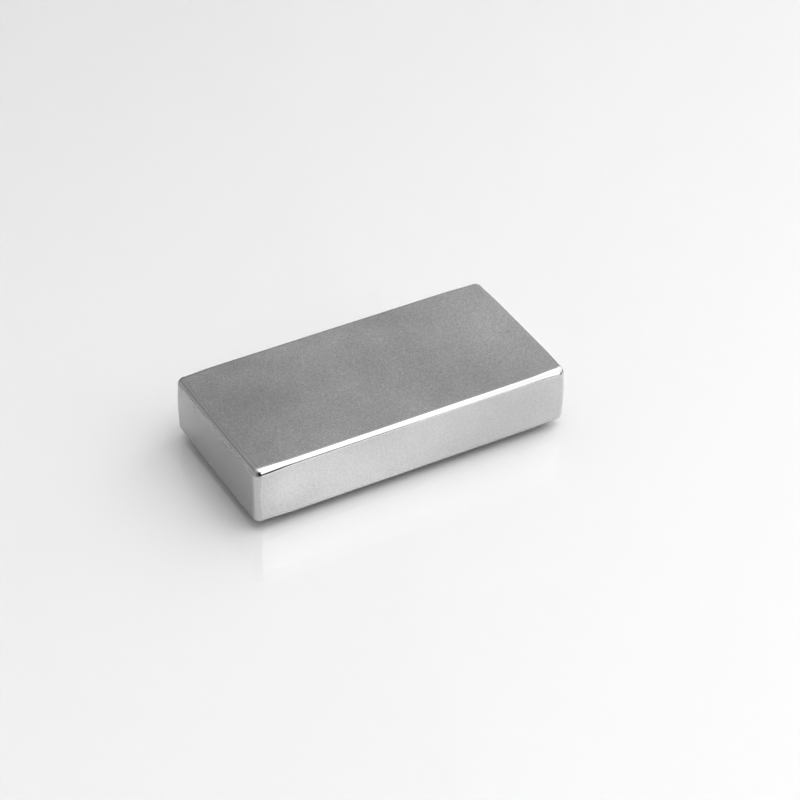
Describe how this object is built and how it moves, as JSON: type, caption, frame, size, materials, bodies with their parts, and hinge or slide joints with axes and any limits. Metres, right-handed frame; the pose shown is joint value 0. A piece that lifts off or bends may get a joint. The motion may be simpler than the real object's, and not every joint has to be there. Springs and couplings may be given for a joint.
{
  "type": "block magnet",
  "caption": "Rectangular block magnet with flat faces, tumbled round edges and a bright satin metal plating.",
  "frame": {"origin": "centre of the broad face that the magnet rests on", "axes": "+X along the length, +Y across the width, +Z through the thickness, away from the face it rests on"},
  "size_m": [0.0508, 0.0254, 0.0095],
  "materials": {
    "nickel_plating": "satin"
  },
  "bodies": {
    "root": {"magnet_block": "nickel_plating"}
  },
  "joints": []
}
